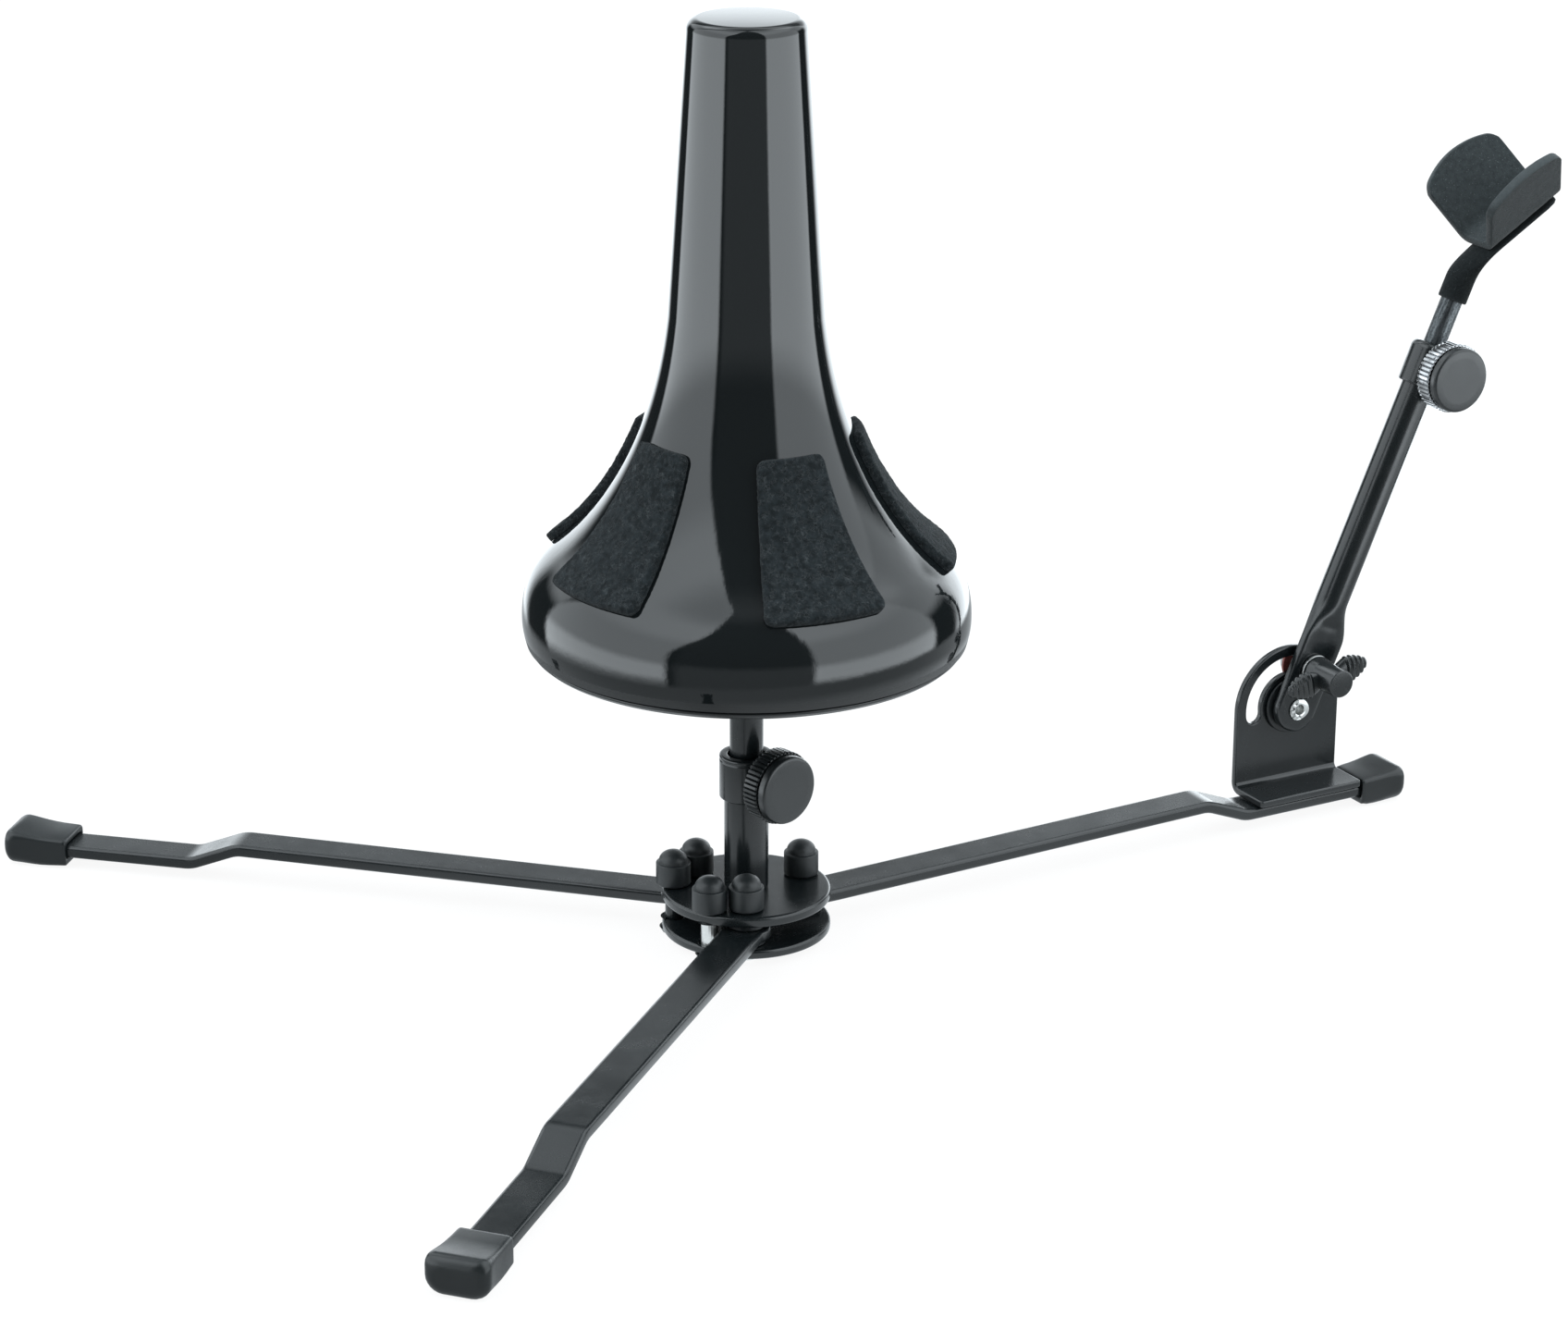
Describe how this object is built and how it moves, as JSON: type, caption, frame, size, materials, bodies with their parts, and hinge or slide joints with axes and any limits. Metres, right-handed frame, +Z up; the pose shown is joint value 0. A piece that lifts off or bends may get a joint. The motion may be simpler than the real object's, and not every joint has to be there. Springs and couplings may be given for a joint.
{
  "type": "trumpet stand",
  "caption": "Free-standing folding trumpet stand: padded bell cone on a height-adjustable column, flat-bar folding legs and a tilting, extending support arm with a flocked cradle.",
  "frame": {"origin": "centre of the stand's footprint box, on the floor that the rubber feet rest on", "axes": "+Z up, +X from the column along the fixed leg that carries the support arm, +Y towards the left folding leg"},
  "size_m": [0.375, 0.2682, 0.2206],
  "materials": {
    "powder_coat": "satin black powder coat with a fine orange-peel grain",
    "gloss_shell": "high-gloss black moulded plastic",
    "black_plastic": "fine-textured black plastic",
    "rubber": "matte charcoal rubber",
    "felt": "dark grey pressed felt with light fibres",
    "flock": "black flock coating with a fine speckle",
    "zinc": "bright zinc plate, slightly streaked",
    "chrome": "polished chrome",
    "red_fibre": "dull red fibre"
  },
  "bodies": {
    "base": {"arm_bracket": "powder_coat", "arm_leg": "powder_coat", "arm_leg_bolt": "zinc", "arm_leg_cap_nut": "powder_coat", "arm_leg_foot": "rubber", "arm_leg_lower_washer": "black_plastic", "arm_leg_upper_washer": "black_plastic", "column_collar": "powder_coat", "column_plug": "zinc", "column_screw": "zinc", "column_tube": "powder_coat", "friction_disc": "black_plastic", "hub_bottom_plate": "powder_coat", "hub_top_plate": "powder_coat", "left_pivot_bolt": "zinc", "left_pivot_cap_nut": "powder_coat", "left_pivot_lower_washer": "black_plastic", "left_pivot_upper_washer": "black_plastic", "left_stop_bolt": "zinc", "left_stop_cap_nut": "powder_coat", "pivot_rivet": "zinc", "right_pivot_bolt": "zinc", "right_pivot_cap_nut": "powder_coat", "right_pivot_lower_washer": "black_plastic", "right_pivot_upper_washer": "black_plastic", "right_stop_bolt": "zinc", "right_stop_cap_nut": "powder_coat"},
    "left_leg_unit": {"left_leg": "powder_coat", "left_leg_foot": "rubber"},
    "right_leg_unit": {"right_leg": "powder_coat", "right_leg_foot": "rubber"},
    "column_knob": {"column_clamp_screw": "zinc", "column_knob_cap": "black_plastic", "column_knob_ring": "black_plastic"},
    "height_rod": {"cone_rod": "powder_coat"},
    "bell_cone": {"cone_base_cover": "black_plastic", "cone_shell": "gloss_shell", "felt_pad_1": "felt", "felt_pad_2": "felt", "felt_pad_3": "felt", "felt_pad_4": "felt", "felt_pad_5": "felt", "rod_nut": "zinc"},
    "support_arm": {"arm_collar": "powder_coat", "arm_tube": "powder_coat", "slot_bolt": "zinc", "slot_front_washer": "zinc", "slot_rear_washer": "red_fibre"},
    "wing_nut_unit": {"wing_nut": "black_plastic"},
    "arm_knob": {"arm_clamp_screw": "zinc", "arm_knob_cap": "black_plastic", "arm_knob_ring": "chrome"},
    "reach_rod": {"arm_rod": "zinc"},
    "cradle_unit": {"cradle": "flock"}
  },
  "joints": [
    {"name": "left_leg_fold", "type": "hinge", "parent": "base", "child": "left_leg_unit", "pos_m": [-0.0533, 0.0124, 0.007], "axis": [0, 0, 1], "range_deg": [-136, 0]},
    {"name": "right_leg_fold", "type": "hinge", "parent": "base", "child": "right_leg_unit", "pos_m": [-0.0533, -0.0124, 0.007], "axis": [0, 0, 1], "range_deg": [0, 136]},
    {"name": "column_height", "type": "slide", "parent": "base", "child": "height_rod", "axis": [0, 0, 1], "range_m": [-0.012, 0.008]},
    {"name": "cone_turn", "type": "hinge", "parent": "height_rod", "child": "bell_cone", "pos_m": [-0.0465, 0, 0.08], "axis": [0, 0, 1], "continuous": true},
    {"name": "column_knob_turn", "type": "hinge", "parent": "base", "child": "column_knob", "pos_m": [-0.04422, -0.00974, 0.04085], "axis": [0.2284, -0.9736, 0], "range_deg": [0, 720]},
    {"name": "arm_tilt", "type": "hinge", "parent": "base", "child": "support_arm", "pos_m": [0.1139, 0.003, 0.0274], "axis": [0, -1, 0], "range_deg": [-4, 62]},
    {"name": "wing_nut_turn", "type": "hinge", "parent": "support_arm", "child": "wing_nut_unit", "pos_m": [0.1182, -0.005, 0.03714], "axis": [0, -1, 0], "range_deg": [0, 720]},
    {"name": "arm_knob_turn", "type": "hinge", "parent": "support_arm", "child": "arm_knob", "pos_m": [0.15103, -0.005, 0.11158], "axis": [0, -1, 0], "range_deg": [0, 720]},
    {"name": "arm_reach", "type": "slide", "parent": "support_arm", "child": "reach_rod", "axis": [0.4035, 0, 0.915], "range_m": [-0.011, 0.036]},
    {"name": "cradle_turn", "type": "hinge", "parent": "reach_rod", "child": "cradle_unit", "pos_m": [0.15829, 0.0048, 0.12805], "axis": [0.4035, 0, 0.915], "continuous": true}
  ]
}
